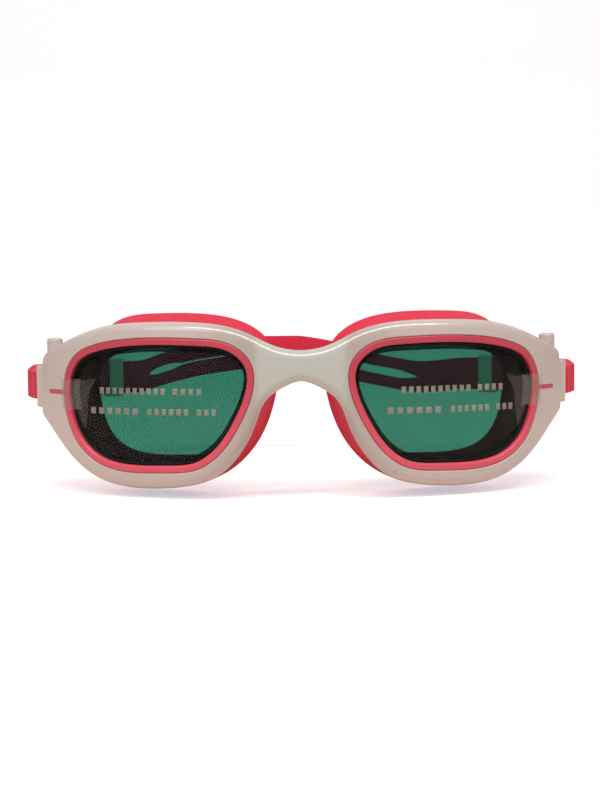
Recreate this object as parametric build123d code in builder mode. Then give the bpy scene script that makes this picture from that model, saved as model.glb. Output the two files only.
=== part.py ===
"""Wide-view swimming goggles: one-piece frame, two eye assemblies, swivelling strap buckles, split head strap.

X runs across the face, Y from the front of the goggles back to the head, Z up, all in millimetres.
The design origin is on the front of the nose bridge, half way up the frame; every finished piece is then moved
so that the origin is the centre of the box round the whole goggles.
Eye, buckle and strap pieces are modelled for +X, named left, and mirrored to make the right ones.
"""

import os
from math import cos, hypot, radians, sin

from build123d import *

os.makedirs("parts", exist_ok=True)

# ---------------------------------------------------------------- frame dimensions
WRAP_HALF_WIDTH = 88.0  # seen from above, the front follows half of an ellipse
WRAP_DEPTH = 45.0
WRAP_REACH = 71.5  # degrees of that ellipse on each side of the nose
LEAN_RADIUS = 150.0  # the front leans back towards brow and cheek on this radius
SHELL_HALF_HEIGHT = 32.0
FRAME_DEPTH = 6.5  # depths are measured back from the front surface
FRAME_FRONT_ROUND = 3.0
FRAME_REAR_ROUND = 1.2
RIM_EDGE_ROUND = 0.4

# Upper and lower edge of the frame in front view, from the nose to just beyond the wing tip.
BROW = [(0, 17.0), (8.9, 18.7), (16, 22.2), (24, 24.7), (36, 25.8), (49, 25.7), (60, 24.7), (68, 22.4), (75, 19.3)]
BROW += [(80, 16.6), (92, 13.0)]
CHEEK = [(0, 7.7), (5, 6.1), (10.6, 2.2), (14.5, -6.5), (19.2, -15.0), (25.5, -21.3), (34, -24.4), (46, -25.7)]
CHEEK += [(57, -25.1), (66, -22.0), (73, -16.5), (80, -8.2), (92, 1.0)]

# ---------------------------------------------------------------- eye dimensions
EYE_X, EYE_Y, EYE_TOE = 43.6, 8.0, 17.5  # the eye plane is turned outwards with the wrap
# Outlines in the eye plane, clockwise from above the nose side; X runs from nose to temple.
LENS_OUTLINE = [(-12, 18.6), (-1, 18.9), (10, 18.5), (21, 16.8), (28.6, 13.2), (31.6, 7), (31.2, -0.5), (28.4, -8.8)]
LENS_OUTLINE += [(22.2, -15.1), (12, -18.1), (-1, -18.2), (-11.5, -16.9), (-18, -12.4), (-23.8, -4), (-27.3, 4.6)]
LENS_OUTLINE += [(-27.3, 11.8), (-22.5, 16.7)]
FACE_OUTLINE = [(-8.6, 27.6), (8.2, 27.9), (23, 25.6), (32, 18), (35, 7), (33.5, -5), (28.5, -16.5), (19.5, -24.6)]
FACE_OUTLINE += [(8, -27.6), (-4, -26.4), (-15, -21.9), (-24.5, -12.6), (-30, 0.5), (-31, 10), (-28, 19.3)]
FACE_OUTLINE += [(-19.7, 25.2)]

FIT_GAP = 0.05  # between pieces that are bonded or snapped together
RING_WIDTH = 2.2
RING_FRONT, RING_BACK = 0.1, 2.6
RING_ROUND = 0.6
TAIL_START, TAIL_END = 71.0, 80.2  # X of the ring's runner tail, which lies in a groove of the wing
TAIL_Z, TAIL_HEIGHT, TAIL_DEPTH = 3.8, 1.3, 0.9
LENS_THICKNESS = 1.8
LENS_LIP = 1.3  # how far the lens reaches under the ring
LENS_SKIRT_BACK = 6.5
FILM_THICKNESS = 0.1
FILM_INSET = 0.45
FILM_GAP = 0.03
TAB_Z, TAB_HEIGHT, TAB_OVERLAP = 3.1, 9.6, 3.0
CUP_BACK = 19.5  # depth at which the eye cup meets the face
CUP_FLANGE, CUP_FLANGE_REACH = 2.0, 4.0
CUP_WALL = 2.2
CUP_LIP, CUP_LIP_MARGIN = 1.8, -1.5  # the mouth turns inwards to a lip; its margin is from the lens outline
CUP_FLARE = (5.0, 18.0, 27.0)  # distances behind the eye plane where the cup's wall starts, is full, and ends

# ---------------------------------------------------------------- buckle dimensions
# Buckle plane: X points from the swivel pin to the strap, Y towards the head, Z up.
PIVOT_X, PIVOT_Y = 78.9, 31.05
BUCKLE_SPLAY = 30.0  # turned outwards from straight back
BAND_Z = 4.6  # mid height of strap and buckle
BUCKLE_HEIGHT = 13.0
SIDE_PLATE = 1.5
SIDE_PLATE_END = 14.4
POCKET_GAP = 0.25
KNUCKLE_R = 2.2
PIN_R = 0.8
PIN_FIT, PIN_PLAY = 0.01, 0.05
PIN_BOTTOM, PIN_TOP = -6.2, 17.6
BOSS_R = 2.5  # hinge knuckles of the frame, above and below the buckle
BOSS_BOTTOM, BOSS_TOP = -6.6, 20.4
SKIN_INSIDE = -2.75  # buckle Y of the inside of the wing's front skin
SKIN_END = 2.1  # buckle X where that skin ends
LEVER_X, LEVER_Y = 7.8, -0.2
LEVER_PIN_R = 0.6
LEVER_START, LEVER_END = 2.6, 8.6
END_BAR_X, END_BAR_Y, END_BAR_R = 13.0, 0.2, 1.3

# ---------------------------------------------------------------- strap dimensions
STRAP_THICKNESS = 1.45
STRAP_WIDTH, STRAP_END_WIDTH = 12.0, 9.0
STRAND_GAP, SPLIT_HALF_LENGTH = 3.6, 49.0
STRAP_START = 20.0  # buckle X from which the strap is free to bend
STRAP_PARTING = 0.4
STRAP_DROOP = 2.1  # degrees by which the whole strap hangs below level
TURN_R = 22.0  # plan radii of the mid line: towards the head, round the side, across the back
SIDE_R, SIDE_TURN = 57.2, 66.0
REAR_R = 142.5
TAIL_TURN = 62.0  # degrees of the side bend covered by the doubled-back end
WIDEN_START, WIDEN_END = 54.0, 68.0  # Y between which the strap widens
KEEPER_TURN, KEEPER_LENGTH = 51.5, 5.4
KEEPER_WALL, KEEPER_GAP = 0.8, 0.28

BOX_CENTRE_Y = 62.3  # half way from the bridge to the back of the strap

EYE = Plane(
    origin=(EYE_X, EYE_Y, 0),
    x_dir=(cos(radians(EYE_TOE)), sin(radians(EYE_TOE)), 0),
    z_dir=(sin(radians(EYE_TOE)), -cos(radians(EYE_TOE)), 0),
)
BUCKLE = Plane(
    origin=(PIVOT_X, PIVOT_Y, 0),
    x_dir=(sin(radians(BUCKLE_SPLAY)), cos(radians(BUCKLE_SPLAY)), 0),
    z_dir=(0, 0, 1),
)
BUCKLE_BOTTOM = BAND_Z - BUCKLE_HEIGHT / 2
BUCKLE_TOP = BAND_Z + BUCKLE_HEIGHT / 2


# ---------------------------------------------------------------- shared shapes
def grown(outline, margin):
    """The points of a clockwise closed outline, each moved outwards by a margin."""
    moved = []
    for before, here, after in zip(outline[-1:] + outline[:-1], outline, outline[1:] + outline[:1]):
        into = (here[0] - before[0], here[1] - before[1])
        out_of = (after[0] - here[0], after[1] - here[1])
        ratio = hypot(*out_of) / hypot(*into)
        along = (into[0] * ratio + out_of[0] / ratio, into[1] * ratio + out_of[1] / ratio)
        scale = margin / hypot(*along)
        moved.append((here[0] - along[1] * scale, here[1] + along[0] * scale))
    return moved


def wrap_shell(near, far):
    """A leaf of the wrapped form between two depths behind the front surface."""
    with BuildPart() as shell:
        with BuildLine() as line:
            path = EllipticalCenterArc(
                (0, WRAP_DEPTH), WRAP_HALF_WIDTH, WRAP_DEPTH, start_angle=-90 - WRAP_REACH, arc_size=2 * WRAP_REACH
            )
        along = path % 0
        across = Plane(origin=path @ 0, x_dir=Vector(0, 0, 1).cross(along), z_dir=along)
        lean = SHELL_HALF_HEIGHT**2 / (2 * LEAN_RADIUS)
        with BuildSketch(across):
            with BuildLine():
                front = ThreePointArc((near + lean, -SHELL_HALF_HEIGHT), (near, 0), (near + lean, SHELL_HALF_HEIGHT))
                rear = ThreePointArc((far + lean, -SHELL_HALF_HEIGHT), (far, 0), (far + lean, SHELL_HALF_HEIGHT))
                Line(front @ 0, rear @ 0)
                Line(front @ 1, rear @ 1)
            make_face()
        sweep(path=line.wires()[0])
    return shell.part


def eye_band(outer, inner=None):
    """A prism along the eye's axis, from in front of the goggles to behind them, hollow if inner is given."""
    with BuildPart() as prism:
        with BuildSketch(EYE.offset(30)):
            with BuildLine():
                Spline(*grown(LENS_OUTLINE, outer), periodic=True)
            make_face()
        extrude(amount=-70)
        if inner is not None:
            with BuildSketch(EYE.offset(30)):
                with BuildLine():
                    Spline(*grown(LENS_OUTLINE, inner), periodic=True)
                make_face()
            extrude(amount=-70, mode=Mode.SUBTRACT)
    return prism.part


def eye_leaf(near, far, outer, inner=None):
    """The part of an eye band that lies between two depths."""
    with BuildPart() as leaf:
        add(eye_band(outer, inner))
        add(wrap_shell(near, far), mode=Mode.INTERSECT)
    return leaf.part


def tail_bar(gap):
    """The runner tail of the ring, or with a gap the groove it lies in."""
    with BuildPart() as bar:
        with BuildSketch(Plane.XZ.offset(10)):
            with Locations(((TAIL_START + TAIL_END) / 2, TAIL_Z)):
                RectangleRounded(TAIL_END - TAIL_START + 2 * gap, TAIL_HEIGHT + 2 * gap, TAIL_HEIGHT / 2 - 0.05)
        extrude(amount=-60)
        add(wrap_shell(RING_FRONT - 4 * gap, TAIL_DEPTH + gap), mode=Mode.INTERSECT)
    return bar.part


def post(plane, x, y, radius, bottom, top):
    """An upright round post at a place in the buckle's plan."""
    with BuildPart() as cylinder:
        with BuildSketch(plane.offset(bottom)):
            with Locations((x, y)):
                Circle(radius)
        extrude(amount=top - bottom)
    return cylinder.part


def save(name, shape):
    """Moves a finished piece to the centred frame, labels it and writes it to the file of the same name."""
    centred = shape.moved(Location((0, -BOX_CENTRE_Y, 0)))
    centred.label = name
    export_step(centred, f"parts/{name}.step")


def save_pair(name, shape):
    """Writes a piece modelled for +X as left, and its mirror image as right."""
    save(f"left_{name}", shape)
    save(f"right_{name}", mirror(shape, about=Plane.YZ))


# ---------------------------------------------------------------- frame
with BuildPart() as blank:
    with BuildSketch(Plane.XZ.offset(40)):
        with BuildLine():
            brow = Spline(*[(-x, z) for x, z in reversed(BROW[1:])], *BROW)
            cheek = Spline(*[(-x, z) for x, z in reversed(CHEEK[1:])], *CHEEK)
            Line(brow @ 0, cheek @ 0)
            Line(brow @ 1, cheek @ 1)
        make_face()
    extrude(amount=-120)
    add(wrap_shell(0, FRAME_DEPTH), mode=Mode.INTERSECT)
    long_edges = blank.edges().filter_by(lambda edge: edge.length > 2 * WRAP_HALF_WIDTH)
    front_edges = long_edges.filter_by(lambda edge: (edge @ 0.5).Y < FRAME_DEPTH / 2)
    fillet(front_edges, radius=FRAME_FRONT_ROUND)
    long_edges = blank.edges().filter_by(lambda edge: edge.length > 1.9 * WRAP_HALF_WIDTH)
    rear_edges = long_edges.filter_by(lambda edge: (edge @ 0.5).Y > FRAME_DEPTH)
    fillet(rear_edges, radius=FRAME_REAR_ROUND)

with BuildPart() as left_boss:
    add(post(BUCKLE, 0, 0, BOSS_R, BUCKLE_TOP + POCKET_GAP, BOSS_TOP))
    fillet(left_boss.edges().sort_by(Axis.Z)[-1], radius=0.8)
    add(post(BUCKLE, 0, 0, BOSS_R, BOSS_BOTTOM, BUCKLE_BOTTOM - POCKET_GAP))
    fillet(left_boss.edges().sort_by(Axis.Z)[0], radius=0.6)

with BuildPart() as left_pocket:
    with BuildSketch(BUCKLE.offset(BUCKLE_BOTTOM - POCKET_GAP)):
        with Locations((SKIN_INSIDE, SKIN_INSIDE)):
            Rectangle(15, 7.5, align=(Align.MIN, Align.MIN))
        with Locations((SKIN_END, SKIN_INSIDE - 5)):
            Rectangle(10, 6, align=(Align.MIN, Align.MIN))
    extrude(amount=BUCKLE_HEIGHT + 2 * POCKET_GAP)
    inner_corner = left_pocket.edges().filter_by(Axis.Z).sort_by(BUCKLE.location.x_axis)[0:2]
    fillet(inner_corner.sort_by(Axis.Y)[0], radius=2.2)
    add(post(BUCKLE, 0, 0, PIN_R + PIN_FIT, BOSS_BOTTOM - 1, PIN_TOP + 0.1))

with BuildPart() as frame:
    add(blank.part)
    left_hole = eye_band(RING_WIDTH + FIT_GAP)
    add(left_hole, mode=Mode.SUBTRACT)
    add(mirror(left_hole, about=Plane.YZ), mode=Mode.SUBTRACT)
    hole_edges = frame.edges().filter_by(lambda edge: edge.is_closed and edge.length > 100)
    fillet(hole_edges.sort_by(lambda edge: (edge @ 0.25).Y + (edge @ 0.75).Y)[0:2], radius=RIM_EDGE_ROUND)
    add(left_boss.part)
    add(mirror(left_boss.part, about=Plane.YZ))
    add(left_pocket.part, mode=Mode.SUBTRACT)
    add(mirror(left_pocket.part, about=Plane.YZ), mode=Mode.SUBTRACT)
    left_groove = tail_bar(FIT_GAP)
    add(left_groove, mode=Mode.SUBTRACT)
    add(mirror(left_groove, about=Plane.YZ), mode=Mode.SUBTRACT)

save("frame", frame.part)

# ---------------------------------------------------------------- lens, ring, film
with BuildPart() as lens_ring:
    add(eye_leaf(RING_FRONT, RING_BACK, RING_WIDTH, 0))
    rim_edges = lens_ring.edges().filter_by(lambda edge: edge.length > 100)
    fillet(rim_edges.sort_by(lambda edge: (edge @ 0.25).Y + (edge @ 0.75).Y)[0:2], radius=RING_ROUND)
    with BuildPart(mode=Mode.PRIVATE) as tail:
        add(tail_bar(0))
        add(eye_band(RING_WIDTH - 0.2), mode=Mode.SUBTRACT)
    add(tail.part)

with BuildPart() as lens:
    add(eye_leaf(RING_BACK + FIT_GAP, LENS_SKIRT_BACK, LENS_LIP))
    add(eye_leaf(RING_BACK + FIT_GAP + LENS_THICKNESS, LENS_SKIRT_BACK + 5, 0), mode=Mode.SUBTRACT)

FILM_BACK = RING_BACK + FIT_GAP - FILM_GAP
TAB_FRONT = -FILM_GAP - FILM_THICKNESS
with BuildPart() as protective_film:
    add(eye_leaf(FILM_BACK - FILM_THICKNESS, FILM_BACK, -FILM_INSET))
    with BuildPart(mode=Mode.PRIVATE) as tab:
        add(eye_leaf(TAB_FRONT, FILM_BACK, FILM_THICKNESS - FILM_INSET, -FILM_INSET - FILM_GAP))
        add(eye_leaf(TAB_FRONT, TAB_FRONT + FILM_THICKNESS, TAB_OVERLAP, -FILM_INSET))
        with BuildSketch(Plane.XZ.offset(20)):
            with Locations((EYE_X + 20, TAB_Z)):
                RectangleRounded(40, TAB_HEIGHT, 2, align=(Align.MIN, Align.CENTER))
        extrude(amount=-80, mode=Mode.INTERSECT)
    add(tab.part)

save_pair("lens_ring", lens_ring.part)
save_pair("lens", lens.part)
save_pair("protective_film", protective_film.part)


# ---------------------------------------------------------------- eye cup
def cup_form(at_frame, at_face):
    """The flaring form of the eye cup; the margins are measured from the lens and face outlines."""
    start, full, end = CUP_FLARE
    with BuildPart() as form:
        for distance, outline in (
            (start, grown(LENS_OUTLINE, at_frame)),
            (full, grown(FACE_OUTLINE, at_face)),
            (end, grown(FACE_OUTLINE, at_face)),
        ):
            with BuildSketch(EYE.offset(-distance)):
                with BuildLine():
                    Spline(*outline, periodic=True)
                make_face()
        loft()
    return form.part


with BuildPart() as gasket:
    add(cup_form(CUP_FLANGE_REACH - 1, 0))
    add(cup_form(CUP_FLANGE_REACH - 1 - CUP_WALL, -CUP_WALL), mode=Mode.SUBTRACT)
    add(wrap_shell(FRAME_DEPTH + FIT_GAP, CUP_BACK), mode=Mode.INTERSECT)
    cup_start = FRAME_DEPTH + FIT_GAP
    add(eye_leaf(cup_start, cup_start + CUP_FLANGE, CUP_FLANGE_REACH, FIT_GAP))
    add(eye_leaf(RING_BACK + FIT_GAP, cup_start + CUP_FLANGE / 2, RING_WIDTH, LENS_LIP + FIT_GAP))
    with BuildPart(mode=Mode.PRIVATE) as lip:
        add(cup_form(CUP_FLANGE_REACH - 1, 0))
        add(wrap_shell(CUP_BACK - CUP_LIP, CUP_BACK), mode=Mode.INTERSECT)
        add(eye_band(CUP_LIP_MARGIN), mode=Mode.SUBTRACT)
    add(lip.part)

save_pair("gasket", gasket.part)

# ---------------------------------------------------------------- buckle
with BuildPart() as buckle:
    add(post(BUCKLE, 0, 0, KNUCKLE_R, BUCKLE_BOTTOM, BUCKLE_TOP))
    with BuildSketch(BUCKLE.offset(BUCKLE_BOTTOM)):
        with BuildLine():
            knuckle_side = ThreePointArc((0, KNUCKLE_R), (-KNUCKLE_R, 0), (0, -KNUCKLE_R))
            outer_side = Spline(knuckle_side @ 1, (3.5, -1.6), (11.5, -1.6), tangents=((1, 0), (1, 0)))
            nose = ThreePointArc(outer_side @ 1, (SIDE_PLATE_END, 0.3), (11.5, KNUCKLE_R))
            Line(nose @ 1, knuckle_side @ 0)
        make_face()
    extrude(amount=BUCKLE_HEIGHT)
    with BuildSketch(BUCKLE.offset(BUCKLE_BOTTOM + SIDE_PLATE)):
        with Locations((KNUCKLE_R + 2.8, 0)):
            Rectangle(20, 10, align=(Align.MIN, Align.CENTER))
        with Locations((KNUCKLE_R + 0.2, -4)):
            Rectangle(5, 5.2, align=(Align.MIN, Align.MIN))
    extrude(amount=BUCKLE_HEIGHT - 2 * SIDE_PLATE, mode=Mode.SUBTRACT)
    add(post(BUCKLE, END_BAR_X, END_BAR_Y, END_BAR_R, BUCKLE_BOTTOM + 0.5, BUCKLE_TOP - 0.5))
    add(post(BUCKLE, 0, 0, PIN_R + PIN_PLAY, BUCKLE_BOTTOM - 1, BUCKLE_TOP + 1), mode=Mode.SUBTRACT)
    pin_hole = post(BUCKLE, LEVER_X, LEVER_Y, LEVER_PIN_R + PIN_FIT, BUCKLE_BOTTOM - 1, BUCKLE_TOP + 1)
    add(pin_hole, mode=Mode.SUBTRACT)

swivel_pin = post(BUCKLE, 0, 0, PIN_R, PIN_BOTTOM, PIN_TOP)
lever_pin = post(BUCKLE, LEVER_X, LEVER_Y, LEVER_PIN_R, BUCKLE_BOTTOM + 0.1, BUCKLE_TOP - 0.1)

LEVER_INSIDE = -1.75  # buckle Y of the underside of the lever's plate, clear of the side plates
with BuildPart() as cam_lever:
    with BuildSketch(BUCKLE.offset(BUCKLE_BOTTOM)):
        with BuildLine():
            crown = ThreePointArc((LEVER_START, -3.4), (5.6, -4.15), (LEVER_END, -3.3))
            Polyline(crown @ 1, (LEVER_X - 0.9, LEVER_INSIDE), (LEVER_START, LEVER_INSIDE), crown @ 0)
        make_face()
    extrude(amount=BUCKLE_HEIGHT)
    plate_corners = cam_lever.edges().filter_by(Axis.Z).sort_by(BUCKLE.location.x_axis)
    fillet(plate_corners[0:2], radius=0.4)
    lobe_bottom = BUCKLE_BOTTOM + SIDE_PLATE + 0.1
    with BuildSketch(BUCKLE.offset(lobe_bottom)):
        with Locations((LEVER_X, LEVER_Y)):
            Circle(1.45)
        with Locations((LEVER_X + 0.95, LEVER_Y - 0.15)):
            Circle(1.3)
        with BuildLine():
            Polyline((6.4, -0.4), (6.4, -2.2), (8.3, -2.9), (9.75, -1.1), (LEVER_X, LEVER_Y), (6.4, -0.4))
        make_face()
    extrude(amount=BUCKLE_TOP - SIDE_PLATE - 0.1 - lobe_bottom)
    lever_bore = post(BUCKLE, LEVER_X, LEVER_Y, LEVER_PIN_R + PIN_PLAY, BUCKLE_BOTTOM - 1, BUCKLE_TOP + 1)
    add(lever_bore, mode=Mode.SUBTRACT)

save_pair("buckle", buckle.part)
save_pair("swivel_pin", swivel_pin)
save_pair("lever_pin", lever_pin)
save_pair("cam_lever", cam_lever.part)

# ---------------------------------------------------------------- strap
HALF_THICK = STRAP_THICKNESS / 2
TURN_INSIDE = END_BAR_R + 0.02
TURN_OUTSIDE = TURN_INSIDE + STRAP_THICKNESS
STRAP_HINGE = Axis((0, BUCKLE.from_local_coords((STRAP_START, 0, 0)).Y, BAND_Z), (1, 0, 0))


def strap_edge(shift, side_turn, rear_turn=0):
    """Draws one long edge of a strap layer in plan, and returns where it starts and its last arc."""
    start = BUCKLE.from_local_coords((STRAP_START, END_BAR_Y - shift, 0))
    turn = JernArc(start, BUCKLE.x_dir, TURN_R + shift, BUCKLE_SPLAY)
    last = JernArc(turn @ 1, turn % 1, SIDE_R + shift, side_turn)
    if rear_turn:
        last = JernArc(last @ 1, last % 1, REAR_R + shift, rear_turn)
    return start, last


def strap_layer(inner_shift, side_turn, rear_turn=0):
    """A full-height strap layer between two edges one thickness apart."""
    with BuildPart() as layer:
        with BuildSketch(Plane.XY.offset(BAND_Z - STRAP_WIDTH / 2)):
            with BuildLine():
                inner_start, inner = strap_edge(inner_shift, side_turn, rear_turn)
                outer_start, outer = strap_edge(inner_shift + STRAP_THICKNESS, side_turn, rear_turn)
                Line(inner_start, outer_start)
                Line(inner @ 1, outer @ 1)
            make_face()
        extrude(amount=STRAP_WIDTH)
    return layer.part


with BuildPart() as half_strap:
    add(strap_layer(-STRAP_THICKNESS, SIDE_TURN, 90 - SIDE_TURN))
    add(strap_layer(0, TAIL_TURN))

with BuildPart() as head_strap:
    add(half_strap.part)
    add(mirror(half_strap.part, about=Plane.YZ))
    with BuildSketch(Plane.YZ.offset(-150)) as narrowing:
        for side in (-1, 1):
            with BuildLine():
                middle = ((WIDEN_START + WIDEN_END) / 2, BAND_Z + side * (STRAP_WIDTH + STRAP_END_WIDTH) / 4)
                start = (WIDEN_START, BAND_Z + side * STRAP_END_WIDTH / 2)
                end = (WIDEN_END, BAND_Z + side * (STRAP_WIDTH / 2 + 0.05))
                ease = Spline(start, middle, end, tangents=((1, 0), (1, 0)))
                beyond = BAND_Z + side * STRAP_WIDTH
                Polyline(ease @ 1, (WIDEN_END, beyond), (WIDEN_START - 20, beyond), (WIDEN_START - 20, start[1]), start)
            make_face()
    extrude(amount=300, mode=Mode.SUBTRACT)
    with BuildSketch(Plane.XZ.offset(-90)):
        with Locations((0, BAND_Z)):
            SlotOverall(2 * SPLIT_HALF_LENGTH, STRAND_GAP)
    extrude(amount=-60, mode=Mode.SUBTRACT)

save("head_strap", head_strap.part.rotate(STRAP_HINGE, -STRAP_DROOP))

with BuildPart() as strap_end:
    with BuildSketch(BUCKLE.offset(BAND_Z - STRAP_END_WIDTH / 2)):
        end_x = STRAP_START - STRAP_PARTING
        with BuildLine():
            top, bottom = END_BAR_Y + TURN_OUTSIDE, END_BAR_Y - TURN_OUTSIDE
            bend = ThreePointArc((END_BAR_X, bottom), (END_BAR_X - TURN_OUTSIDE, END_BAR_Y), (END_BAR_X, top))
            level = ((1, 0), (1, 0))
            outer = Spline(bend @ 0, (end_x, END_BAR_Y - STRAP_THICKNESS), tangents=level)
            inner = Spline(bend @ 1, (end_x, END_BAR_Y + STRAP_THICKNESS), tangents=level)
            Line(outer @ 1, inner @ 1)
        make_face()
        with BuildLine():
            top, bottom = END_BAR_Y + TURN_INSIDE, END_BAR_Y - TURN_INSIDE
            bend = ThreePointArc((END_BAR_X, bottom), (END_BAR_X - TURN_INSIDE, END_BAR_Y), (END_BAR_X, top))
            meeting = (end_x - 1.0, END_BAR_Y)
            Spline(bend @ 0, meeting, tangents=level)
            Spline(bend @ 1, meeting, tangents=level)
        make_face(mode=Mode.SUBTRACT)
    extrude(amount=STRAP_END_WIDTH)

save_pair("strap_end", strap_end.part)

# ---------------------------------------------------------------- keeper
with BuildLine():
    side_line = strap_edge(0, KEEPER_TURN)[1]
KEEPER = Plane(origin=side_line @ 1, x_dir=side_line % 1, z_dir=(0, 0, 1))
with BuildPart() as strap_keeper:
    depth = 2 * (STRAP_THICKNESS + KEEPER_GAP)
    height = STRAP_WIDTH + 2 * KEEPER_GAP
    with BuildSketch(KEEPER.offset(BAND_Z - height / 2 - KEEPER_WALL)):
        Rectangle(KEEPER_LENGTH, depth + 2 * KEEPER_WALL)
    extrude(amount=height + 2 * KEEPER_WALL)
    fillet(strap_keeper.edges().filter_by(GeomType.LINE).filter_by(KEEPER.location.x_axis), radius=0.9)
    with BuildSketch(KEEPER.offset(BAND_Z - height / 2)):
        Rectangle(KEEPER_LENGTH + 2, depth)
    extrude(amount=height, mode=Mode.SUBTRACT)

save_pair("strap_keeper", strap_keeper.part.rotate(STRAP_HINGE, -STRAP_DROOP))
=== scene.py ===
"""Swimming goggles: soft cups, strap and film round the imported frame, with materials, light and camera."""

import math

import bmesh
import bpy
import numpy as np
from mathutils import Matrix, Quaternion, Vector


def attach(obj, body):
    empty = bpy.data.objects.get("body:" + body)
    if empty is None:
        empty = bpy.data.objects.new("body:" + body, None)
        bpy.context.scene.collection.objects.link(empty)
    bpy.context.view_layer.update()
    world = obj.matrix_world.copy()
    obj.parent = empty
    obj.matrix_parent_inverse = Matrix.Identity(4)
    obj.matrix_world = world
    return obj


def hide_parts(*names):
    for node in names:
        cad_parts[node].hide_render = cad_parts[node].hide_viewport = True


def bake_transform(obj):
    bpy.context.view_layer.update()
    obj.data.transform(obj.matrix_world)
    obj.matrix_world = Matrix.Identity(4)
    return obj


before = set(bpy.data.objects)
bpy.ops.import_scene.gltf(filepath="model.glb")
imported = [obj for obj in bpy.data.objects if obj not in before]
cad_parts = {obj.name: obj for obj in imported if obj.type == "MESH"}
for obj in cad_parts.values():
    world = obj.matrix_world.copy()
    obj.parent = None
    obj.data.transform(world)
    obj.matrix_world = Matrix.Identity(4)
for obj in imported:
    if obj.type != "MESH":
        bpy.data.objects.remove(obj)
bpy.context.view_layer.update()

MM = 0.001
CENTRE_Y = 62.3  # the row frame's origin lies this far behind the front of the bridge

# ---------------------------------------------------------------- the wrapped form, in mm from the bridge
# The front surface is an ellipse in plan, with these half axes, that leans back above and below.
WRAP_A, WRAP_B, LEAN_R = 88.0, 45.0, 150.0
EYE_X, EYE_Y, TOE = 43.6, 8.0, math.radians(17.5)
# Outlines in the eye plane as (s, z): s runs from the eye's centre away from the nose, z is up.
LENS_TOP = [(-12, 18.6), (-1, 18.9), (10, 18.5), (21, 16.8), (28.6, 13.2), (31.6, 7)]
LENS_LOW = [(31.2, -0.5), (28.4, -8.8), (22.2, -15.1), (12, -18.1), (-1, -18.2), (-11.5, -16.9)]
LENS_NOSE = [(-18, -12.4), (-23.8, -4), (-27.3, 4.6), (-27.3, 11.8), (-22.5, 16.7)]
FACE_TOP = [(-8.6, 27.6), (8.2, 27.9), (23, 25.6), (32, 18), (35, 7)]
FACE_LOW = [(33.5, -5), (28.5, -16.5), (19.5, -24.6), (8, -27.6), (-4, -26.4), (-15, -21.9)]
FACE_NOSE = [(-24.5, -12.6), (-30, 0.5), (-31, 10), (-28, 19.3), (-19.7, 25.2)]

# Depths behind the front surface of the frame, in millimetres.
FILM_FRONT, FILM_BACK = 2.50, 2.60
INK_FRONT, INK_BACK = 2.44, 2.49
BLISTER_FOOT, BLISTER_RISE = 2.47, 0.12
LENS_BACK, LENS_BACK_INNER = 4.5, 4.7
CUP_FRONT = 6.58


def smooth_loop(points, samples=720):
    """A closed cubic curve through the points, as an array of evenly parametrised samples."""
    p = np.array(points, float)
    n = len(p)
    steps = np.linalg.norm(np.roll(p, -1, 0) - p, axis=1)
    knots = np.concatenate([[0], np.cumsum(steps)])
    # Solve for the slopes at the knots that make the curvature run on through every point.
    m = np.zeros((n, n))
    rhs = np.zeros((n, 2))
    for i in range(n):
        before, after = steps[i - 1], steps[i]
        m[i, i - 1] += after
        m[i, i] += 2 * (before + after)
        m[i, (i + 1) % n] += before
        into, out_of = (p[i] - p[i - 1]) / before, (p[(i + 1) % n] - p[i]) / after
        rhs[i] = 3 * (into * after + out_of * before)
    slopes = np.linalg.solve(m, rhs)
    t = np.linspace(0, knots[-1], samples, endpoint=False)
    k = np.clip(np.searchsorted(knots, t, side="right") - 1, 0, n - 1)
    h = steps[k][:, None]
    u = ((t - knots[k]) / steps[k])[:, None]
    a, b = p[k], p[(k + 1) % n]
    sa, sb = slopes[k] * h, slopes[(k + 1) % n] * h
    from_start = (2 * u**3 - 3 * u**2 + 1) * a + (u**3 - 2 * u**2 + u) * sa
    to_end = (3 * u**2 - 2 * u**3) * b + (u**3 - u**2) * sb
    return from_start + to_end


class Outline:
    """A closed outline in the eye plane, read by direction from its middle and grown by a margin."""

    def __init__(self, points):
        self.loop = smooth_loop(points)
        ahead = np.roll(self.loop, -1, 0) - np.roll(self.loop, 1, 0)
        ahead /= np.linalg.norm(ahead, axis=1)[:, None]
        self.out = np.stack([-ahead[:, 1], ahead[:, 0]], 1)

    def at(self, angles, margin=0.0):
        """Points of the outline grown by a margin, at angles seen from the eye plane's origin."""
        grown = self.loop + self.out * margin
        bearing = np.arctan2(grown[:, 1], grown[:, 0])
        order = np.argsort(bearing)
        r = np.interp(angles, bearing[order], np.hypot(*grown[order].T), period=2 * np.pi)
        return np.stack([r * np.cos(angles), r * np.sin(angles)], -1)


lens_outline = Outline(LENS_TOP + LENS_LOW + LENS_NOSE)
face_outline = Outline(FACE_TOP + FACE_LOW + FACE_NOSE)

# The front surface in plan, from past the nose to the end of the wing: points, tangents and inward normals.
TURN = np.radians(np.linspace(-20, 88, 900))
WRAP_POINT = np.stack([WRAP_A * np.sin(TURN), WRAP_B * (1 - np.cos(TURN))], 1)
WRAP_ALONG = np.stack([WRAP_A * np.cos(TURN), WRAP_B * np.sin(TURN)], 1)
WRAP_ALONG /= np.linalg.norm(WRAP_ALONG, axis=1)[:, None]
WRAP_IN = np.stack([-WRAP_ALONG[:, 1], WRAP_ALONG[:, 0]], 1)
EYE_ALONG = np.array([math.cos(TOE), math.sin(TOE)])


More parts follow.
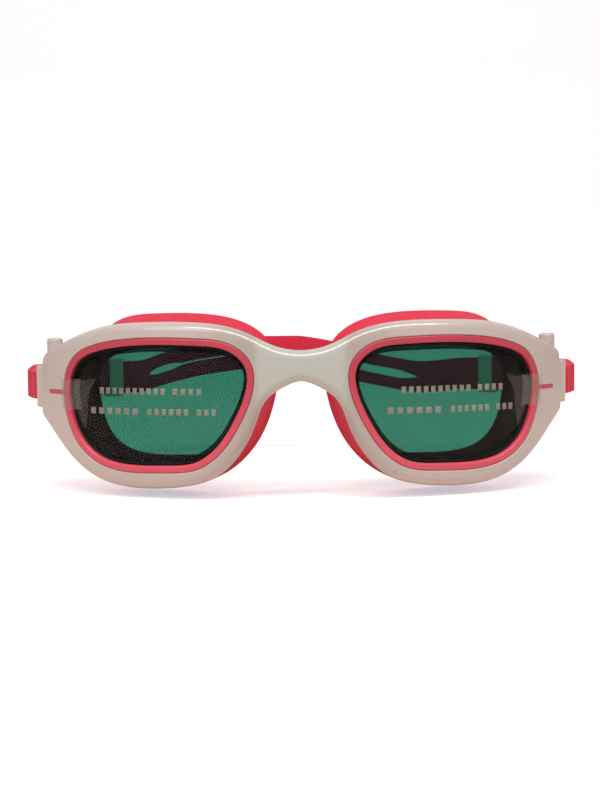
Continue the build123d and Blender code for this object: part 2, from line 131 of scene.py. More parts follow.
def place(s, z, depth):
    """Row-frame points in metres, on the +X side, at eye-plane positions and depths behind the front."""
    s, z, depth = np.broadcast_arrays(*(np.asarray(values, float) for values in (s, z, depth)))
    out = np.empty(s.shape + (3,))
    for i in np.ndindex(s.shape):
        d = depth[i] + LEAN_R - math.sqrt(LEAN_R**2 - z[i] ** 2)
        x = WRAP_POINT[:, 0] + WRAP_IN[:, 0] * d
        y = WRAP_POINT[:, 1] + WRAP_IN[:, 1] * d
        across = (x - EYE_X) * EYE_ALONG[0] + (y - EYE_Y) * EYE_ALONG[1]
        out[i] = np.interp(s[i], across, x), np.interp(s[i], across, y) - CENTRE_Y, z[i]
    return out * MM


# ---------------------------------------------------------------- meshes
def mesh_piece(name, points, faces, body, slot, surface):
    """A closed mesh in the row frame: its faces point outwards, its many-sided ends stay flat."""
    data = bpy.data.meshes.new(name)
    data.from_pydata([tuple(p) for p in points], [], faces)
    data.validate()
    shell = bmesh.new()
    shell.from_mesh(data)
    bmesh.ops.recalc_face_normals(shell, faces=shell.faces)
    shell.to_mesh(data)
    shell.free()
    data.polygons.foreach_set("use_smooth", [len(face.vertices) <= 4 for face in data.polygons])
    data.update()
    piece = bpy.data.objects.new(name, data)
    bpy.context.scene.collection.objects.link(piece)
    data.materials.append(surface)
    if body:
        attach(piece, body)
    return piece


def grid_faces(rows, columns, close_rows=False, close_columns=False):
    """Quads between rows of vertices, wrapping round where asked."""
    faces = []
    for i in range(rows if close_rows else rows - 1):
        for j in range(columns if close_columns else columns - 1):
            a, b = i * columns, ((i + 1) % rows) * columns
            k = (j + 1) % columns
            faces.append((a + j, a + k, b + k, b + j))
    return faces


def joined(parts):
    """Several meshes, each (points, faces), as one."""
    points, faces, offset = [], [], 0
    for part_points, part_faces in parts:
        points.append(part_points)
        faces += [tuple(v + offset for v in face) for face in part_faces]
        offset += len(part_points)
    return np.concatenate(points), faces


def stacked_loops(front_tip, loops, back_tip):
    """A closed form through loops of equal length, ended by a fan to a single point at front and back."""
    n, last = len(loops[0]), 1 + len(loops) * len(loops[0])
    faces = [(0, 1 + (j + 1) % n, 1 + j) for j in range(n)]
    faces += [tuple(v + 1 for v in face) for face in grid_faces(len(loops), n, False, True)]
    faces += [(last, last - n + j, last - n + (j + 1) % n) for j in range(n)]
    return np.concatenate([front_tip, *loops, back_tip]), faces


def both_sides(build):
    """Calls build(side, sign) for the left (+X) and right (-X) pieces."""
    for side, sign in (("left", 1), ("right", -1)):
        build(side, sign)


def on_side(points, sign):
    """Points of the +X side, mirrored when the sign is negative."""
    return points * np.array([sign, 1.0, 1.0])


# ---------------------------------------------------------------- materials
def new_material(name):
    """A material that uses nodes."""
    m = bpy.data.materials.new(name)
    m.use_nodes = True
    return m


def add_node(tree, kind, values=(), **properties):
    """A shader node with its properties, and values for the inputs that nothing is linked to."""
    node = tree.nodes.new("ShaderNode" + kind)
    for key, value in properties.items():
        setattr(node, key, value)
    for key, value in dict(values).items():
        node.inputs[key].default_value = value
    return node


def material(name, base, roughness, second=None, mottle_scale=60, grain=0.1, grain_scale=900, inputs=()):
    """A Principled material with mottled colour and roughness and a fine relief, all procedural."""
    m = new_material(name)
    tree = m.node_tree
    link = tree.links.new
    shader = tree.nodes["Principled BSDF"]
    for key, value in dict(inputs).items():
        shader.inputs[key].default_value = value
    spot = add_node(tree, "TexCoord")
    mottle = add_node(tree, "TexNoise", {"Scale": mottle_scale, "Detail": 6})
    link(spot.outputs["Object"], mottle.inputs["Vector"])
    second = second or tuple(0.86 * channel for channel in base)
    colour = add_node(tree, "Mix", {"A": (*base, 1), "B": (*second, 1)}, data_type="RGBA")
    link(mottle.outputs["Fac"], colour.inputs["Factor"])
    link(colour.outputs["Result"], shader.inputs["Base Color"])
    rough = add_node(tree, "MapRange", {"To Min": roughness - 0.08, "To Max": roughness + 0.08})
    link(mottle.outputs["Fac"], rough.inputs["Value"])
    link(rough.outputs["Result"], shader.inputs["Roughness"])
    relief = add_node(tree, "TexNoise", {"Scale": grain_scale, "Detail": 4})
    link(spot.outputs["Object"], relief.inputs["Vector"])
    bump = add_node(tree, "Bump", {"Strength": grain, "Distance": 0.0001})
    link(relief.outputs["Fac"], bump.inputs["Height"])
    link(bump.outputs["Normal"], shader.inputs["Normal"])
    return m


def pearl(name, base, second):
    """Pearl-white moulded plastic under a clear coat."""
    return material(
        name,
        base,
        0.3,
        second=second,
        mottle_scale=22,
        grain=0.05,
        inputs={"Coat Weight": 0.8, "Coat Roughness": 0.1, "Coat IOR": 1.55, "Specular IOR Level": 0.5},
    )


def silicone(name, base, second):
    """Matt silicone that lets a little light in."""
    return material(
        name,
        base,
        0.55,
        second=second,
        mottle_scale=45,
        grain=0.15,
        inputs={
            "Subsurface Weight": 0.2,
            "Subsurface Radius": (0.004, 0.0012, 0.001),
            "Subsurface Scale": 0.4,
            "Specular IOR Level": 0.16,
        },
    )


def see_through(name, tint, gloss_roughness, gloss_strength, haze=0.0, haze_colour=(0.8, 0.8, 0.8)):
    """A clear sheet: tinted straight-through light under a Fresnel gloss, with a little haze if asked."""
    m = new_material(name)
    tree = m.node_tree
    link = tree.links.new
    tree.nodes.clear()
    through = add_node(tree, "BsdfTransparent", {"Color": (*tint, 1)})
    under_gloss = through.outputs["BSDF"]
    if haze:
        spot = add_node(tree, "TexCoord")
        cloud = add_node(tree, "TexNoise", {"Scale": 70, "Detail": 5})
        link(spot.outputs["Object"], cloud.inputs["Vector"])
        amount = add_node(tree, "MapRange", {"To Min": 0.5 * haze, "To Max": 1.5 * haze})
        link(cloud.outputs["Fac"], amount.inputs["Value"])
        dull = add_node(tree, "BsdfDiffuse", {"Color": (*haze_colour, 1)})
        hazy = add_node(tree, "MixShader")
        link(amount.outputs["Result"], hazy.inputs["Fac"])
        link(through.outputs["BSDF"], hazy.inputs[1])
        link(dull.outputs["BSDF"], hazy.inputs[2])
        under_gloss = hazy.outputs["Shader"]
    # The gloss lies only on faces turned to the eye, so that light inside the sheet meets no mirror.
    facing = add_node(tree, "NewGeometry")
    strength = add_node(tree, "MapRange", {"To Min": gloss_strength, "To Max": 0.0})
    link(facing.outputs["Backfacing"], strength.inputs["Value"])
    fresnel = add_node(tree, "LayerWeight", {"Blend": 0.25})
    share = add_node(tree, "Math", operation="MULTIPLY")
    link(fresnel.outputs["Fresnel"], share.inputs[0])
    link(strength.outputs["Result"], share.inputs[1])
    gloss = add_node(tree, "BsdfGlossy", {"Roughness": gloss_roughness})
    top = add_node(tree, "MixShader")
    link(share.outputs["Value"], top.inputs["Fac"])
    link(under_gloss, top.inputs[1])
    link(gloss.outputs["BSDF"], top.inputs[2])
    out = add_node(tree, "OutputMaterial")
    link(top.outputs["Shader"], out.inputs["Surface"])
    return m


def shade_along(m, axis, other_colour, near, far):
    """Paints light and shade into the base colour: turns it towards another one low down on Z, or close to
    the symmetry plane on X.
    """
    tree = m.node_tree
    link = tree.links.new
    base = tree.nodes["Principled BSDF"].inputs["Base Color"]
    spot = add_node(tree, "TexCoord")
    split = add_node(tree, "SeparateXYZ")
    link(spot.outputs["Object"], split.inputs["Vector"])
    reach = split.outputs[axis]
    if axis == "X":
        distance = add_node(tree, "Math", operation="ABSOLUTE")
        link(reach, distance.inputs[0])
        reach = distance.outputs["Value"]
    stops = {"From Min": near, "From Max": far}
    share = add_node(tree, "MapRange", stops, interpolation_type="SMOOTHSTEP")
    link(reach, share.inputs["Value"])
    mix = add_node(tree, "Mix", {"A": (*other_colour, 1)}, data_type="RGBA")
    link(share.outputs["Result"], mix.inputs["Factor"])
    link(base.links[0].from_socket, mix.inputs["B"])
    link(mix.outputs["Result"], base)


frame_pearl = pearl("frame_pearl", (0.64, 0.56, 0.52), (0.59, 0.51, 0.47))
# Painted shade: the frame's colour turns darker on the rim beside the nose, where the surface curves in away
# from the light, and darker and greyer on the bridge.
shade_along(frame_pearl, "X", (0.49, 0.43, 0.395), 0.015, 0.036)
shade_along(frame_pearl, "X", (0.55, 0.565, 0.52), 0.0118, 0.0152)
buckle_pearl = pearl("buckle_pearl", (0.67, 0.58, 0.52), (0.62, 0.53, 0.47))
ring_pink = material(
    "ring_pink",
    (0.61, 0.052, 0.092),
    0.4,
    second=(0.54, 0.042, 0.078),
    grain=0.06,
    inputs={"Specular IOR Level": 0.45, "Coat Weight": 0.5, "Coat Roughness": 0.2},
)
# Painted light: the ring's colour turns lighter towards the bottom, where its surface tilts up towards the
# overhead light.
shade_along(ring_pink, "Z", (0.80, 0.09, 0.14), -0.02, 0.014)
cup_pink = silicone("cup_pink", (0.77, 0.04, 0.082), (0.71, 0.034, 0.073))
strap_pink = silicone("strap_pink", (0.76, 0.036, 0.08), (0.68, 0.03, 0.07))
keeper_white = material("keeper_white", (0.74, 0.71, 0.68), 0.38, grain=0.08)
# Near black: the painted shadow in the gap between ring and lens, and the dark line at the lens step.
edge_black = material(
    "edge_black",
    (0.012, 0.016, 0.015),
    0.6,
    second=(0.006, 0.009, 0.008),
    inputs={"Specular IOR Level": 0.1},
)
pin_steel = material(
    "pin_steel",
    (0.55, 0.55, 0.56),
    0.3,
    inputs={"Metallic": 1.0},
    grain=0.2,
    grain_scale=2500,
)
lens_tint = see_through("lens_tint", (0.15, 0.408, 0.33), 0.02, 0.4)
# A real bevel at the lens edge, but its darkening is painted shade: a grey-green filter over the band.
bevel_shade = see_through("bevel_shade", (0.3, 0.34, 0.33), 0.3, 0.0)
film_clear = see_through("film_clear", (0.985, 0.99, 0.988), 0.08, 0.25, haze=0.005)
film_lifted = see_through("film_lifted", (0.97, 0.975, 0.97), 0.15, 0.5, 0.035, (0.8, 0.68, 0.62))
film_tab = see_through("film_tab", (0.95, 0.95, 0.95), 0.12, 1.0, 0.07, (0.8, 0.74, 0.7))
film_ink = see_through("film_ink", (0.7, 0.72, 0.7), 0.3, 0.3, 0.36, (0.62, 0.58, 0.52))

NODE_MATERIALS = {
    "frame": frame_pearl,
    "lens_ring": ring_pink,
    "lens": lens_tint,
    "buckle": buckle_pearl,
    "cam_lever": buckle_pearl,
    "strap_keeper": keeper_white,
    "swivel_pin": pin_steel,
    "lever_pin": pin_steel,
}
for node_name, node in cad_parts.items():
    kind = node_name.removeprefix("left_").removeprefix("right_")
    if kind in NODE_MATERIALS:
        node.data.materials.clear()
        node.data.materials.append(NODE_MATERIALS[kind])

# ---------------------------------------------------------------- eye cups
ANGLES = np.linspace(0, 2 * np.pi, 240, endpoint=False)
# The cup's section, from the flange behind the rim out to the face, inwards along the lip, and back along
# the inside to the lens. Each station is (share of the face outline, margin, depth).
CUP_SECTION = [
    (0.0, 0.12, 6.60),
    (0.0, 2.4, 6.60),
    (0.0, 3.9, 6.62),
    (0.0, 4.2, 6.95),
    (0.04, 4.1, 7.6),
    (0.14, 3.4, 8.6),
    (0.34, 2.2, 10.2),
    (0.58, 1.1, 12.2),
    (0.78, 0.3, 14.2),
    (0.92, -0.15, 16.2),
    (0.98, -0.15, 17.6),
    (1.0, 0.1, 18.6),
    (1.0, 0.15, 19.1),
    (1.0, -0.2, 19.45),
    (1.0, -0.9, 19.5),
    (0.76, -1.2, 19.5),
    (0.5, -1.4, 19.45),
    (0.25, -1.5, 19.35),
    (0.07, -1.5, 19.1),
    (0.02, -1.55, 18.7),
    (0.07, -1.65, 18.25),
    (0.25, -1.85, 17.85),
    (0.5, -2.05, 17.65),
    (0.74, -2.25, 17.35),
    (0.88, -2.35, 16.6),
    (0.86, -2.3, 15.7),
    (0.72, -2.0, 14.2),
    (0.52, -1.45, 12.2),
    (0.32, -0.8, 10.4),
    (0.14, -0.2, 8.9),
    (0.03, 0.05, 7.8),
    (0.0, 0.1, 7.1),
]


def smooth_section(section, per_step=3):
    """The closed section with extra stations on a smooth curve between the given ones."""
    p = np.array(section)
    n = len(p)
    out = []
    for i in range(n):
        a, b, c, d = p[i - 1], p[i], p[(i + 1) % n], p[(i + 2) % n]
        for k in range(per_step):
            u = k / per_step
            bend = (2 * a - 5 * b + 4 * c - d) * u**2 + (3 * b - a - 3 * c + d) * u**3
            out.append(0.5 * (2 * b + (c - a) * u + bend))
    return np.array(out)


def build_cup(side, sign):
    """The soft eye cup, from the lens outline at its flange to the face outline at its lip."""
    rows = []
    for share, margin, depth in smooth_section(CUP_SECTION):
        near = lens_outline.at(ANGLES, margin)
        far = face_outline.at(ANGLES, margin)
        outline = near * (1 - share) + far * share
        rows.append(place(*outline.T, max(depth, CUP_FRONT)))
    points = on_side(np.concatenate(rows), sign)
    faces = grid_faces(len(rows), len(ANGLES), True, True)
    cup = mesh_piece(f"{side}_cup", points, faces, "goggles", "cup_silicone", cup_pink)
    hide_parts(f"{side}_gasket")


both_sides(build_cup)

# ---------------------------------------------------------------- strap
PIVOT = np.array([78.9, 31.05])  # the buckle's swivel pin in plan
SPLAY = math.radians(30)
BACKWARDS = np.array([math.sin(SPLAY), math.cos(SPLAY)])  # the buckle's own directions in plan
HEADWARDS = np.array([-math.cos(SPLAY), math.sin(SPLAY)])
BAND_Z, THICK = 4.6, 1.4
LAYER_SHIFT = THICK / 2 + 0.03  # from the mid line of the doubled strap to the middle of one layer
DROOP_START, DROOP = 48.37, math.radians(2.1)  # the strap hangs a little from here back
BAR = (13.0, 0.2)  # the buckle's end bar, in the buckle's own directions
BAR_RADIUS = 1.32
RUN_START = 20.0  # from here back the two layers lie on each other
BEND_START, BEND_LENGTH = 16.0, 42.0  # the stretch of strap next to the buckle that would bend as the buckle swivels; not bent here
TURN_R, SIDE_R, REAR_R = 22.0, 57.2, 142.5
SIDE_TURN, TAIL_TURN, KEEPER_TURN = 66.0, 62.0, 51.5


def in_plan(x, y):
    """A point given in the buckle's own directions as X, Y in millimetres from the bridge."""
    return PIVOT + BACKWARDS * x + HEADWARDS * y


def arc_from(start, heading, radius, degrees, step=1.5):
    """Points and headings along a left-turning arc in plan, without its first point."""
    centre = start + radius * np.array([-math.sin(heading), math.cos(heading)])
    count = max(2, int(radius * math.radians(degrees) / step))
    turns = np.radians(np.linspace(0, degrees, count + 1)[1:])
    spots = [centre + radius * np.array([math.sin(heading + t), -math.cos(heading + t)]) for t in turns]
    return spots, heading + math.radians(degrees)


def layer_path(shift, side_turn, rear_turn=0):
    """Mid line of a strap layer in plan, from the buckle outwards; shift is positive away from the head."""
    start = in_plan(RUN_START, BAR[1] - shift)
    heading = math.pi / 2 - SPLAY
    points = [start]
    for radius, degrees in ((TURN_R, math.degrees(SPLAY)), (SIDE_R, side_turn), (REAR_R, rear_turn)):
        if degrees:
            more, heading = arc_from(points[-1], heading, radius + shift, degrees)
            points += more
    return points


def resampled(points, step):
    """Points along a plan path at even steps."""
    p = np.array(points)
    along = np.concatenate([[0], np.cumsum(np.linalg.norm(np.diff(p, axis=0), axis=1))])
    t = np.linspace(0, along[-1], int(along[-1] / step) + 1)
    return np.stack([np.interp(t, along, p[:, 0]), np.interp(t, along, p[:, 1])], 1)


def band_section(half_width, half_thick, corner=0.35, steps=4):
    """A rounded rectangle as (across the thickness, across the width)."""
    corner = min(corner, half_width * 0.9, half_thick * 0.9)
    flat_thick, flat_width = half_thick - corner, half_width - corner
    loop = []
    for x_sign, z_sign, start in ((1, 1, 0), (-1, 1, 90), (-1, -1, 180), (1, -1, 270)):
        for k in range(steps + 1):
            a = math.radians(start + 90 * k / steps)
            x = x_sign * flat_thick + corner * math.cos(a)
            z = z_sign * flat_width + corner * math.sin(a)
            loop.append((x, z))
    return np.array(loop)


def drooped(points):
    """Points in millimetres from the bridge, turned down a little about a line across the wings."""
    back, up = points[:, 1] - DROOP_START, points[:, 2] - BAND_Z
    y = DROOP_START + back * math.cos(DROOP) + up * math.sin(DROOP)
    z = BAND_Z + up * math.cos(DROOP) - back * math.sin(DROOP)
    return np.column_stack([points[:, 0], y, z])


def band_mesh(path, widths, heights, round_start=False):
    """A ribbon along a plan path, each station with its own width and mid height, closed at both ends."""
    p = np.array(path)
    ahead = np.gradient(p, axis=0)
    ahead /= np.linalg.norm(ahead, axis=1)[:, None]
    side = np.stack([ahead[:, 1], -ahead[:, 0]], 1)
    run = np.concatenate([[0], np.cumsum(np.linalg.norm(np.diff(p, axis=0), axis=1))])
    rows = []
    for i, (spot, out) in enumerate(zip(p, side)):
        half = widths[i] / 2
        if round_start and run[i] < half:
            half = max(0.5, math.sqrt(half**2 - (half - run[i]) ** 2))
        loop = band_section(half, THICK / 2)
        xy = spot + np.outer(loop[:, 0], out)
        row = np.column_stack([xy[:, 0], xy[:, 1], heights[i] + loop[:, 1]])
        if spot[1] > DROOP_START:
            row = drooped(row)
        rows.append(row - np.array([0.0, CENTRE_Y, 0.0]))
    n = len(rows[0])
    faces = grid_faces(len(rows), n, False, True)
    faces.append(tuple(range(n)))
    faces.append(tuple(reversed(range((len(rows) - 1) * n, len(rows) * n))))
    return np.concatenate(rows) * MM, faces


BUCKLE_WIDTH, HEAD_WIDTH = 9.0, 11.9
WIDENS_FROM, WIDENS_TO = 54.0, 68.0  # behind the bridge


def width_at(y):
    """Strap width by distance behind the bridge: narrow in the buckle, full round the head."""
    t = np.clip((y - WIDENS_FROM) / (WIDENS_TO - WIDENS_FROM), 0, 1)
    return BUCKLE_WIDTH + (HEAD_WIDTH - BUCKLE_WIDTH) * t * t * (3 - 2 * t)


def build_run(side, sign):
    """From the free end forwards to the buckle, round its end bar, and back to the keeper."""
    outer = layer_path(LAYER_SHIFT, TAIL_TURN)
    inner = layer_path(-LAYER_SHIFT, KEEPER_TURN)
    turn_r = BAR_RADIUS + THICK / 2
    bend = []
    for angle in np.radians(np.linspace(-90, -270, 22)):
        bend.append(in_plan(BAR[0] + turn_r * math.cos(angle), BAR[1] + turn_r * math.sin(angle)))
    to_bend, from_bend = [], []
    for t in np.linspace(0, 1, 7)[1:-1]:
        x = RUN_START + (BAR[0] - RUN_START) * t
        y = LAYER_SHIFT + (turn_r - LAYER_SHIFT) * (3 * t**2 - 2 * t**3)
        to_bend.append(in_plan(x, BAR[1] - y))
        from_bend.append(in_plan(x, BAR[1] + y))
    path = resampled(outer[::-1] + to_bend + bend + from_bend[::-1] + inner, 0.8)
    heights = np.full(len(path), BAND_Z)
    points, faces = band_mesh(path, width_at(path[:, 1]), heights, round_start=True)
    points = on_side(points, sign)
    piece = mesh_piece(f"{side}_strap_run", points, faces, None, "strap_silicone", strap_pink)
    x, y = in_plan(BEND_START, BAR[1])
    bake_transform(piece)
    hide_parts(f"{side}_strap_end")


both_sides(build_run)


# How far the loose strands ride above the strap's plane at each X, from the right side to the left.
RIDE_X = (-60, -52, -40, -20, 0, 14, 24, 45, 55, 60)
RIDE = (0, 2.8, 5.6, 8.6, 8.2, 5.8, 2.4, -1.6, -0.8, 0)
SPLIT_RIGHT, SPLIT_LEFT = -58.0, 45.0
# The gap between the two strands at each X: widest near both ends, closed where they lie on each other.
GAP_X = (-58, -55, -50, -45, -20, 5, 20, 38, 45)
GAP = (0.2, 2.2, 2.4, 0.4, 0.3, 0.6, 2.6, 3.0, 0.2)


def rear_wave(x):
    """The ride height at X, rounded between the stations."""
    dense = np.linspace(-80, 80, 801)
    kernel = np.hanning(41) / np.hanning(41).sum()
    smooth = np.convolve(np.pad(np.interp(dense, RIDE_X, RIDE), 20, mode="edge"), kernel, mode="valid")
    return np.interp(x, dense, smooth)


def build_rear():
    """Keeper to keeper across the back of the head, parted into two strands."""
    inner = layer_path(-LAYER_SHIFT, SIDE_TURN, 90 - SIDE_TURN)
    keeper_station = len(layer_path(-LAYER_SHIFT, KEEPER_TURN)) - 1
    half = np.array(inner[keeper_station:])
    half[-1, 0] = 0.0
    path = resampled(np.concatenate([half, half[-2::-1] * [-1, 1]]), 1.0)
    x = path[:, 0]
    base = BAND_Z + rear_wave(x)
    full = width_at(path[:, 1])
    first, last = np.flatnonzero((x >= SPLIT_RIGHT) & (x <= SPLIT_LEFT))[[0, -1]]
    whole = (slice(0, first + 1), slice(last, None))
    bands = [band_mesh(path[part], full[part], base[part]) for part in whole]
    split = slice(first, last + 1)
    x, base, full = x[split], base[split], full[split]
    loose = np.clip(np.minimum(x - SPLIT_RIGHT, SPLIT_LEFT - x) / 5.0, 0, 1)
    gap = np.interp(x, GAP_X, GAP)
    width = (full - gap) / 2
    for direction in (1, -1):
        apart = 0.4 * direction * np.cos(x / 50 * np.pi / 2)
        wander = 0.2 * np.sin(x / 9 + direction)
        middle = base + direction * (gap + width) / 2 + (apart + wander) * loose
        bands.append(band_mesh(path[split], width + 0.01, middle))
    piece = mesh_piece("rear_strap", *joined(bands), "goggles", "strap_silicone", strap_pink)
    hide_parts("head_strap")


build_rear()


# ---------------------------------------------------------------- protective film
FILM_THICK = FILM_BACK - FILM_FRONT
TAB_Z, TAB_HALF = 3.1, 4.8
# The tab climbs out of the lens opening and over the ring, through (margin from the lens outline, depth).
TAB_CLIMB = [(-3.2, 2.42), (-2.2, 2.40), (-1.4, 2.25), (-0.95, 1.7), (-0.7, 1.0), (-0.45, 0.3)]
TAB_OVER_RING = [(0.0, -0.12), (0.7, -0.2), (1.5, -0.22), (2.3, -0.3), (2.9, -0.45)]


def film_piece(name, points, faces, side, sign, surface):
    """A part of the film on one side, which comes off with it."""
    return mesh_piece(
        f"{side}_{name}", on_side(points, sign), faces, f"{side}_film_body", "clear_film", surface
    )


def build_film(side, sign):
    """A thin sheet that lies on the lens, with a faint ripple near its edge."""
    rings = 26
    angles = np.linspace(0, 2 * np.pi, 180, endpoint=False)
    edge = lens_outline.at(angles, -1.0)
    front, back = [], []
    for k in range(1, rings + 1):
        share = math.sqrt(k / rings)
        ripple = 0.012 * np.sin(angles * 5 + sign) * share**6
        front.append(place(*edge.T * share, FILM_FRONT - np.abs(ripple)))
        back.append(place(*edge.T * share, FILM_BACK - np.abs(ripple)))
    tips = [place([0.0], [0.0], depth) for depth in (FILM_FRONT, FILM_BACK)]
    points, faces = stacked_loops(tips[0], front + back[::-1], tips[1])
    film = film_piece("film", points, faces, side, sign, film_clear)
    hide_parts(f"{side}_protective_film")


def build_tab(side, sign):
    """The pull tab, which climbs over the ring and curls away at its end and corners."""
    levels = np.linspace(TAB_Z - TAB_HALF, TAB_Z + TAB_HALF, 13)
    bearings = np.linspace(-1.2, 1.2, 400)
    s, depths = [], []
    for margin, depth in TAB_CLIMB + TAB_OVER_RING:
        outline = lens_outline.at(bearings, margin)
        curl = 0.12 * ((levels - TAB_Z) / TAB_HALF) ** 2 * max(0.0, margin)
        s.append(np.interp(levels, outline[:, 1], outline[:, 0]))
        depths.append(depth - curl)
    s, depths = np.array(s), np.array(depths)
    points, faces = sheet_patch(s, np.tile(levels, (len(s), 1)), depths - FILM_THICK, depths)
    film_piece("film_tab", points, faces, side, sign, film_tab)


def sheet_patch(s, z, near, far):
    """A thin closed plate on the lens form, from grids of s and z and its front and back depths."""
    rows, columns = s.shape
    front, back = place(s, z, near).reshape(-1, 3), place(s, z, far).reshape(-1, 3)
    count = rows * columns
    faces = grid_faces(rows, columns)
    faces += [tuple(v + count for v in reversed(face)) for face in grid_faces(rows, columns)]
    rim = list(range(columns)) + [i * columns + columns - 1 for i in range(1, rows)]
    rim += [(rows - 1) * columns + j for j in range(columns - 2, -1, -1)]
    rim += [i * columns for i in range(rows - 2, 0, -1)]
    for a, b in zip(rim, rim[1:] + rim[:1]):
        faces.append((b, a, a + count, b + count))
    return np.concatenate([front, back]), faces


# Printed rows: (foot, start, end, groups of plain dashes), each group as (from, to, number of dashes).
PRINT_ROWS = [
    (3.6, -13.8, 21.2, ((0, 0.67, 10), (0.715, 1, 4))),
    (-2.7, -18.3, 24.8, ((0, 0.42, 6), (0.47, 0.80, 6), (0.84, 1, 3))),
]
DASH_HEIGHT, DASH_SHARE = 2.0, 0.62


def build_print(side, sign):
    """Two rows of plain upright dashes printed on the film, in the same order on both sides."""
    dashes = []
    for foot, start, end, groups in PRINT_ROWS:
        up = np.linspace(foot, foot + DASH_HEIGHT, 4)
        for a, b, count in groups:
            step = (b - a) * (end - start) / count
            for k in range(count):
                offset = a * (end - start) + (k + 0.5) * step
                middle = start + offset if sign > 0 else end - offset
                across = middle + np.linspace(-0.5, 0.5, 4) * DASH_SHARE * step
                dashes.append(sheet_patch(*np.meshgrid(across, up), INK_FRONT, INK_BACK))
    film_piece("film_print", *joined(dashes), side, sign, film_ink)


# The patch beside the tab where the film has come away, as (s, z), and its middle.
LIFTED = [(22.3, 8.2), (26, 7.7), (30.2, 7.0), (30.5, 2.5), (30.2, -1.5), (28.7, -5)]
LIFTED += [(26.8, -8), (25.9, -4.6), (25.5, -1), (25.3, 2.2), (24.2, 5)]
LIFTED_MIDDLE = np.array([27.8, 1.2])
# Small bubbles under the film: (s, z) and the two half widths.
BUBBLES = {
    "left": [
        ((0.5, -16.9), (0.7, 0.4)),
        ((7.4, -10.6), (0.35, 0.3)),
        ((9.0, -10.4), (0.3, 0.3)),
        ((10.8, -10.7), (0.3, 0.35)),
    ],
    "right": [
        ((17.5, 4.4), (0.4, 0.35)),
        ((16.0, -15.2), (0.55, 0.4)),
        ((6.5, -16.8), (0.35, 0.35)),
    ],
}


def blister(middle, outline, top, foot, back, fullness, rings):
    """A closed low dome over an outline: depths at its top, at its edge and at its flat back."""
    loops = []
    for k in range(1, rings + 1):
        share = k / rings
        depth = foot - (foot - top) * (1 - share**fullness)
        loops.append(place(*(middle + (outline - middle) * share).T, depth))
    loops.append(place(*outline.T, back))
    tips = [place([middle[0]], [middle[1]], depth) for depth in (top, back)]
    return stacked_loops(tips[0], loops, tips[1])


def build_blisters(side, sign):
    """Where the film has come away: a lifted patch beside the tab and a few small bubbles."""
    patch = smooth_loop(LIFTED, 72)[::-1]
    parts = [blister(LIFTED_MIDDLE, patch, 2.36, 2.46, INK_BACK, 4, 5)]
    angles = np.linspace(0, 2 * np.pi, 14, endpoint=False)
    for middle, (half_s, half_z) in BUBBLES[side]:
        outline = middle + np.stack([half_s * np.cos(angles), half_z * np.sin(angles)], 1)
        top = BLISTER_FOOT - BLISTER_RISE
        parts.append(blister(np.array(middle), outline, top, BLISTER_FOOT, INK_BACK, 2, 4))
    film_piece("film_blisters", *joined(parts), side, sign, film_lifted)


for build in (build_film, build_tab, build_print, build_blisters):
    both_sides(build)


# ---------------------------------------------------------------- beads round the lens
# Sections as (margin from the lens outline, depth).
# The gap-shadow bead is a dark strip of painted shadow between ring and lens.
GAP_SHADOW = [(-0.04, 2.63), (-0.04, 2.2), (-0.25, 2.05), (-0.6, 2.2), (-0.88, 2.5), (-0.92, 2.63)]
STEP_FRONT = [(-1.8, LENS_BACK), (-2.0, LENS_BACK - 0.04), (-2.2, LENS_BACK)]
STEP = [(-1.8, LENS_BACK_INNER), *STEP_FRONT, (-2.2, LENS_BACK_INNER)]
BEVEL = [(-0.95, LENS_BACK_INNER), (-0.95, LENS_BACK), (-1.78, LENS_BACK), (-1.78, LENS_BACK_INNER)]


def loop_bead(name, section, sign, slot, surface):
    """A closed bead that follows the lens outline."""
    rows = [place(*lens_outline.at(ANGLES, margin).T, depth) for margin, depth in section]
    faces = grid_faces(len(rows), len(ANGLES), True, True)
    mesh_piece(name, on_side(np.concatenate(rows), sign), faces, "goggles", slot, surface)


def build_beads(side, sign):
    """A dark bead of painted shadow in the gap between ring and lens, and the dark step and the bevel at the
    back of the lens, the bevel's darkening being painted shade.
    """
    loop_bead(f"{side}_gap_shadow_bead", GAP_SHADOW, sign, "ring_plastic", edge_black)
    loop_bead(f"{side}_lens_step", STEP, sign, "tinted_lens", edge_black)
    # The bevel band darkens what is seen through it: painted shade.
    loop_bead(f"{side}_lens_bevel", BEVEL, sign, "tinted_lens", bevel_shade)


both_sides(build_beads)

# ---------------------------------------------------------------- floor, light and camera
FLOOR_Z = -0.0286  # just under the lowest point of the cups
FLOOR_HALF_WIDTH = 2.5
FLOOR_SWEEP = [(-2.0, 0.0), (0.9, 0.0), (1.15, 0.04), (1.35, 0.16), (1.48, 0.36), (1.55, 0.7), (1.58, 2.4)]
FLOOR_GLOW = 0.5  # the floor seen by the camera is lifted to white by this much
SKY_LIGHT, SKY_SEEN = 0.35, 1.0  # strength of the surroundings as a light, and where the camera sees them


def seen_by_camera(tree, unseen, seen):
    """A node output with one value where the camera looks straight at it and another elsewhere."""
    path = add_node(tree, "LightPath")
    choice = add_node(tree, "MapRange", {"To Min": unseen, "To Max": seen})
    tree.links.new(path.outputs["Is Camera Ray"], choice.inputs["Value"])
    return choice.outputs["Result"]


def pale_floor():
    """The floor's material."""
    pale = new_material("pale_floor")
    shader = pale.node_tree.nodes["Principled BSDF"]
    shader.inputs["Base Color"].default_value = (0.92, 0.76, 0.70, 1)
    shader.inputs["Roughness"].default_value = 0.7
    shader.inputs["Emission Color"].default_value = (0.9, 1.0, 1.1, 1)
    glow = seen_by_camera(pale.node_tree, 0.0, FLOOR_GLOW)
    pale.node_tree.links.new(glow, shader.inputs["Emission Strength"])
    return pale


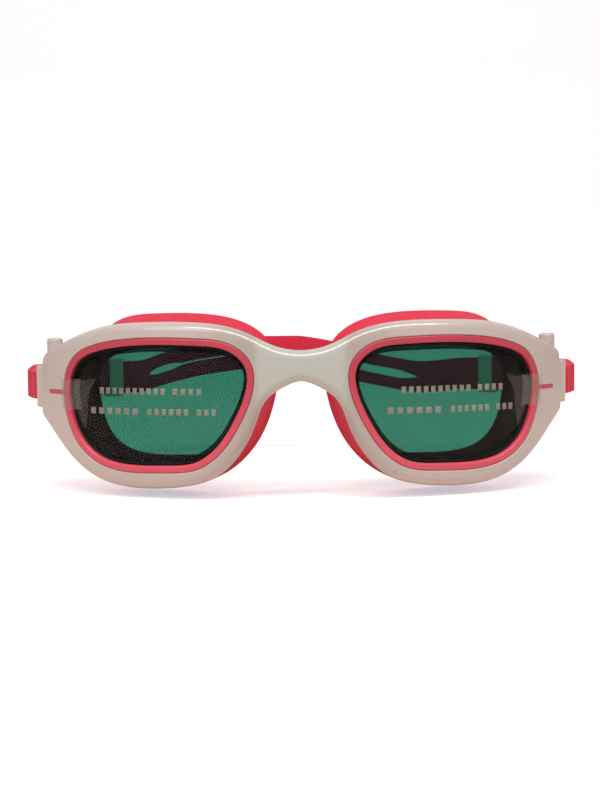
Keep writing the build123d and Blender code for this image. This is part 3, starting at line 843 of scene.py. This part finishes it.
def build_floor():
    """A plain sheet that sweeps up behind the goggles."""
    data = bpy.data.meshes.new("floor")
    corners = []
    for y, z in FLOOR_SWEEP:
        corners += [(x, y, FLOOR_Z + z) for x in (-FLOOR_HALF_WIDTH, FLOOR_HALF_WIDTH)]
    data.from_pydata(corners, [], grid_faces(len(FLOOR_SWEEP), 2))
    data.polygons.foreach_set("use_smooth", [True] * len(data.polygons))
    data.materials.append(pale_floor())
    floor = bpy.data.objects.new("floor", data)
    bpy.context.scene.collection.objects.link(floor)


def softbox(name, spot, aim, size, power, colour=(1, 1, 1)):
    """A rectangular lamp at a spot, turned to its aim."""
    lamp = bpy.data.lights.new(name, "AREA")
    lamp.shape = "RECTANGLE"
    lamp.size, lamp.size_y = size
    lamp.energy = power
    lamp.color = colour
    holder = bpy.data.objects.new(name, lamp)
    holder.location = spot
    holder.rotation_euler = (Vector(aim) - Vector(spot)).to_track_quat("-Z", "Y").to_euler()
    bpy.context.scene.collection.objects.link(holder)


def light_surroundings():
    """An even white surround."""
    world = bpy.data.worlds.new("studio")
    bpy.context.scene.world = world
    world.use_nodes = True
    sky = world.node_tree.nodes["Background"]
    sky.inputs["Color"].default_value = (1, 1, 1, 1)
    strength = seen_by_camera(world.node_tree, SKY_LIGHT, SKY_SEEN)
    world.node_tree.links.new(strength, sky.inputs["Strength"])


def place_camera(aim, distance, tilt, roll, focal_length):
    """A camera in front of the goggles, a little above them and turned about its own axis."""
    lens = bpy.data.cameras.new("camera")
    lens.sensor_fit = "AUTO"
    lens.sensor_width = 36
    lens.lens = focal_length
    camera = bpy.data.objects.new("camera", lens)
    camera.location = aim + distance * Vector((0, -math.cos(tilt), math.sin(tilt)))
    facing = (aim - camera.location).to_track_quat("-Z", "Y")
    camera.rotation_euler = (facing @ Quaternion((0, 0, 1), roll)).to_euler()
    bpy.context.scene.collection.objects.link(camera)
    bpy.context.scene.camera = camera


build_floor()
softbox("overhead", (0.05, -0.34, 0.70), (0, -0.03, 0), (0.8, 0.14), 4.1, (1.0, 0.97, 0.94))
softbox("front_left", (-0.6, -0.8, 0.8), (0, -0.05, 0), (0.5, 0.5), 2.0, (1.0, 0.95, 0.9))
softbox("back", (0.0, 0.9, 0.8), (0, 0.9, 0), (2.0, 1.0), 3.0)
light_surroundings()
aim = Vector((-0.45, -CENTRE_Y, 2.35)) * MM
place_camera(aim, distance=0.42, tilt=math.radians(5.0), roll=math.radians(-0.6), focal_length=63.0)
bpy.context.scene.view_settings.view_transform = "Standard"
